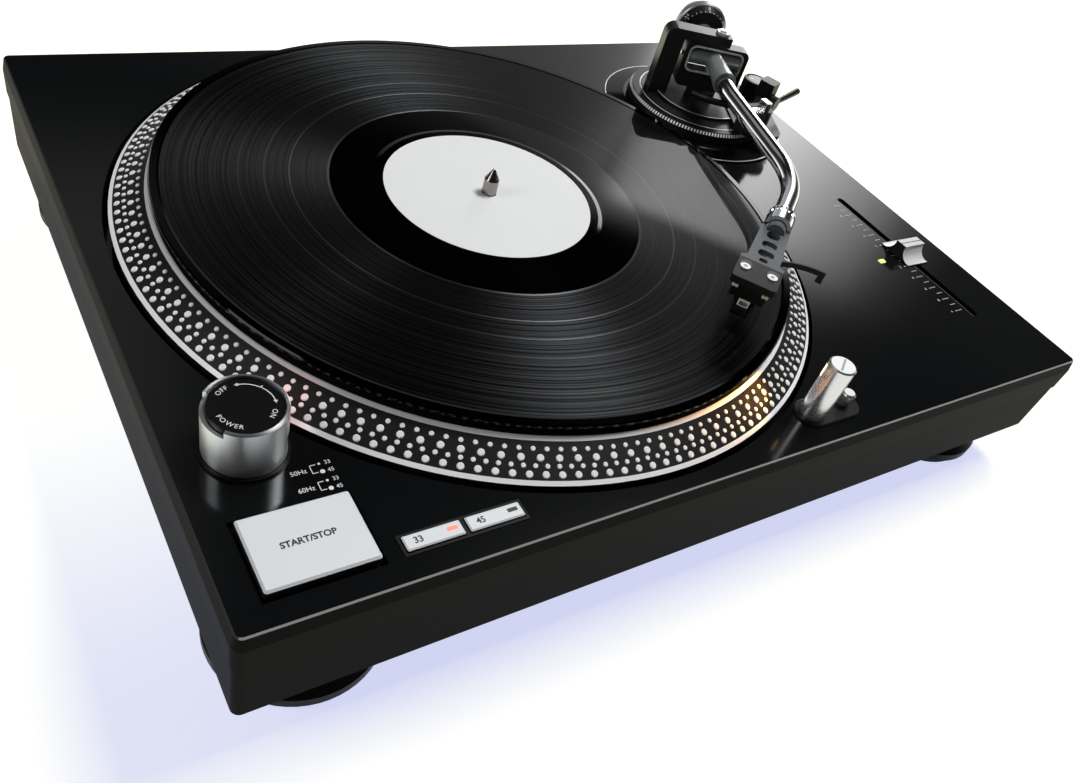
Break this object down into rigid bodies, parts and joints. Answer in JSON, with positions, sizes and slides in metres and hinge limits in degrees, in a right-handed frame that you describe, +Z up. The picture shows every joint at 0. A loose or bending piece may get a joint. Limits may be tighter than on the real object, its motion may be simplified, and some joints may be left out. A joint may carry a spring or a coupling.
{
  "type": "turntable record player",
  "caption": "Flat black record player: spinning platter with a record, S-shaped tonearm on a gimbal, cue lever, pitch fader, strobe tower, target light and push buttons.",
  "frame": {"origin": "on the surface it stands on, under the middle of the plinth", "axes": "+X to the right with the tonearm side, +Y to the back, +Z up"},
  "size_m": [0.45, 0.352, 0.1266],
  "materials": {
    "deck_black": "fine textured satin",
    "base_black": "satin",
    "zinc": "zinc plated",
    "foot_black": "satin",
    "pad_rubber": "matte",
    "bearing_brass": "machined",
    "belt_rubber": "matte",
    "trim_black": "satin",
    "strobe_red": "lit, clear red",
    "pitch_green": "lit",
    "base_gloss": "gloss",
    "board_green": "matte",
    "core_steel": "varnished",
    "socket_gold": "plated",
    "platter_aluminium": "turned and polished rim",
    "mat_black": "matte",
    "vinyl_black": "grooved gloss",
    "label_paper": "white paper",
    "spindle_steel": "ground",
    "ring_silver": "turned satin",
    "bezel_silver": "satin",
    "fader_silver": "satin",
    "lamp_chrome": "polished",
    "lens_warm": "lit, clear",
    "ring_black": "satin",
    "mount_black": "black satin",
    "satin_black": "satin",
    "housing_grey": "dark satin",
    "tube_chrome": "polished",
    "shell_black": "black satin",
    "stylus_body": "gloss",
    "weight_silver": "satin"
  },
  "bodies": {
    "plinth": {"top_deck": "deck_black", "base_pan": "base_black", "deck_screws": "zinc", "feet": "foot_black", "foot_pads": "pad_rubber", "bearing_housing": "bearing_brass", "motor": "zinc", "drive_belt": "belt_rubber", "strobe_tower": "trim_black", "strobe_lens": "strobe_red", "tower_cap": "trim_black", "speed_bezel": "trim_black", "pitch_track": "trim_black", "pitch_light": "pitch_green", "target_seat": "trim_black", "arm_base": "base_gloss", "circuit_board": "board_green", "transformer": "core_steel", "mains_inlet": "trim_black", "line_sockets": "socket_gold", "ground_terminal": "zinc"},
    "platter": {"platter": "platter_aluminium", "slip_mat": "mat_black", "record": "vinyl_black", "record_label": "label_paper", "spindle": "spindle_steel"},
    "pulley": {"motor_pulley": "bearing_brass"},
    "power_switch": {"power_ring": "ring_silver"},
    "start_stop": {"start_stop_button": "bezel_silver"},
    "speed_33": {"button_33": "bezel_silver"},
    "speed_45": {"button_45": "bezel_silver"},
    "pitch_control": {"pitch_fader": "fader_silver"},
    "target_light": {"target_lamp": "lamp_chrome", "target_lens": "lens_warm"},
    "target_button": {"target_release": "lamp_chrome"},
    "height_adjuster": {"height_ring": "ring_black"},
    "arm_mount": {"arm_mount": "mount_black", "gimbal_bracket": "mount_black", "pivot_screw": "lamp_chrome", "arm_rest": "satin_black", "arm_clip": "lamp_chrome"},
    "arm_yoke": {"gimbal_yoke": "mount_black", "gimbal_pivots": "spindle_steel"},
    "arm": {"arm_housing": "housing_grey", "arm_tube": "tube_chrome", "rear_stub": "housing_grey", "headshell": "shell_black", "finger_lift": "mount_black", "cartridge": "satin_black", "cartridge_screws": "spindle_steel", "stylus": "stylus_body"},
    "shell_lock": {"headshell_collar": "tube_chrome"},
    "weight_carrier": {"weight_bush": "housing_grey"},
    "weight": {"counterweight": "weight_silver"},
    "force_dial": {"weight_dial": "satin_black"},
    "cue_control": {"cue_lever": "satin_black"},
    "arm_lift": {"lift_platform": "satin_black"},
    "anti_skate": {"anti_skate_knob": "satin_black"}
  },
  "joints": [
    {"name": "platter_spin", "type": "hinge", "parent": "plinth", "child": "platter", "pos_m": [-0.0448, 0.0015, 0.073], "axis": [0, 0, 1], "continuous": true},
    {"name": "pulley_spin", "type": "hinge", "parent": "plinth", "child": "pulley", "pos_m": [-0.13531, 0.09201, 0.073], "axis": [0, 0, 1], "continuous": true},
    {"name": "power_turn", "type": "hinge", "parent": "plinth", "child": "power_switch", "pos_m": [-0.1976, -0.1043, 0.083], "axis": [0, 0, 1], "range_deg": [0, 50]},
    {"name": "start_stop_press", "type": "slide", "parent": "plinth", "child": "start_stop", "axis": [0, 0, -1], "range_m": [0, 0.0015], "stiffness_N_per_m": 400, "springref_m": -0.0015},
    {"name": "speed_33_press", "type": "slide", "parent": "plinth", "child": "speed_33", "axis": [0, 0, -1], "range_m": [0, 0.001], "stiffness_N_per_m": 300, "springref_m": -0.001},
    {"name": "speed_45_press", "type": "slide", "parent": "plinth", "child": "speed_45", "axis": [0, 0, -1], "range_m": [0, 0.001], "stiffness_N_per_m": 300, "springref_m": -0.001},
    {"name": "pitch_slide", "type": "slide", "parent": "plinth", "child": "pitch_control", "axis": [0, 1, 0], "range_m": [-0.046, 0.046]},
    {"name": "target_lamp_slide", "type": "slide", "parent": "plinth", "child": "target_light", "axis": [0, 0, -1], "range_m": [0, 0.026], "stiffness_N_per_m": 40, "springref_m": -0.02},
    {"name": "target_release_press", "type": "slide", "parent": "plinth", "child": "target_button", "axis": [0, 0, -1], "range_m": [0, 0.0015], "stiffness_N_per_m": 300, "springref_m": -0.001},
    {"name": "height_turn", "type": "hinge", "parent": "plinth", "child": "height_adjuster", "pos_m": [0.15443, 0.08232, 0.078], "axis": [0, 0, 1], "range_deg": [0, 150]},
    {"name": "height_slide", "type": "slide", "parent": "plinth", "child": "arm_mount", "axis": [0, 0, 1], "range_m": [0, 0.006]},
    {"name": "arm_yaw", "type": "hinge", "parent": "arm_mount", "child": "arm_yoke", "pos_m": [0.15443, 0.08232, 0.109], "axis": [0, 0, 1], "range_deg": [-20, 16.6]},
    {"name": "arm_pitch", "type": "hinge", "parent": "arm_yoke", "child": "arm", "pos_m": [0.15443, 0.08232, 0.109], "axis": [-0.8926, 0.4509, 0], "range_deg": [0, 5.04]},
    {"name": "cue_turn", "type": "hinge", "parent": "arm_mount", "child": "cue_control", "pos_m": [0.17846, 0.05337, 0.098], "axis": [0.3502, -0.9367, 0], "range_deg": [0, 70]},
    {"name": "lift_slide", "type": "slide", "parent": "arm_mount", "child": "arm_lift", "axis": [0, 0, 1], "range_m": [0, 0.0038]},
    {"name": "weight_slide", "type": "slide", "parent": "arm", "child": "weight_carrier", "axis": [-0.4509, -0.8926, 0], "range_m": [-0.006, 0.006]},
    {"name": "weight_turn", "type": "hinge", "parent": "weight_carrier", "child": "weight", "pos_m": [0.15443, 0.08232, 0.109], "axis": [-0.4509, -0.8926, 0], "range_deg": [-720, 720]},
    {"name": "dial_turn", "type": "hinge", "parent": "weight", "child": "force_dial", "pos_m": [0.15443, 0.08232, 0.109], "axis": [-0.4509, -0.8926, 0], "continuous": true},
    {"name": "anti_skate_turn", "type": "hinge", "parent": "arm_mount", "child": "anti_skate", "pos_m": [0.19363, 0.07652, 0.093], "axis": [0, 0, 1], "range_deg": [0, 260]},
    {"name": "collar_turn", "type": "hinge", "parent": "arm", "child": "shell_lock", "pos_m": [0.10926, -0.04415, 0.109], "axis": [-0.7997, -0.6004, 0], "range_deg": [0, 40]}
  ],
  "couplings": [
    {"joint": "pulley_spin", "follows": "platter_spin", "ratio": 17.546},
    {"joint": "height_slide", "follows": "height_turn", "m_per_rad": 0.0022918},
    {"joint": "cue_turn", "follows": "arm_pitch", "ratio": 13.889},
    {"joint": "lift_slide", "follows": "arm_pitch", "m_per_rad": 0.043198},
    {"joint": "weight_turn", "follows": "weight_slide", "rad_per_m": 2094.4}
  ]
}
